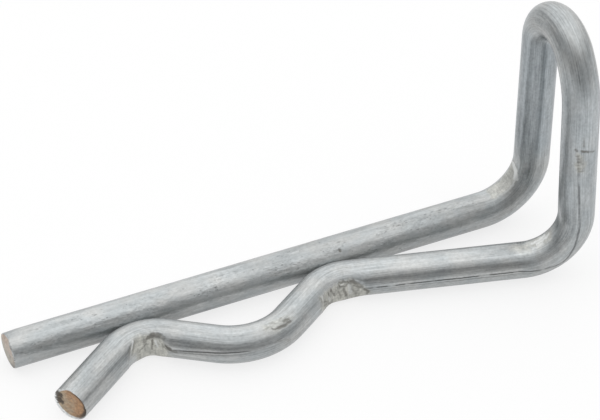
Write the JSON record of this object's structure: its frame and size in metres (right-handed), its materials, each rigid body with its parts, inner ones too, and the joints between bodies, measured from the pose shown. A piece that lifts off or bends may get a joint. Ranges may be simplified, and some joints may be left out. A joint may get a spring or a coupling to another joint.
{
  "type": "spring pin",
  "caption": "Spring retaining pin bent from 6 mm round galvanised wire: a straight leg for a cross hole, a wavy leg that snaps round the shaft, and an upright pull loop.",
  "frame": {"origin": "where the axis of the gripped shaft crosses the axis of the straight leg", "axes": "+X along the straight leg towards the pull loop, +Z along the gripped shaft's axis, on the side where the loop stands, the wavy leg on -Y"},
  "size_m": [0.095, 0.0215, 0.0455],
  "materials": {
    "wire": "galvanised"
  },
  "bodies": {
    "root": {"spring_pin": "wire"}
  },
  "joints": []
}
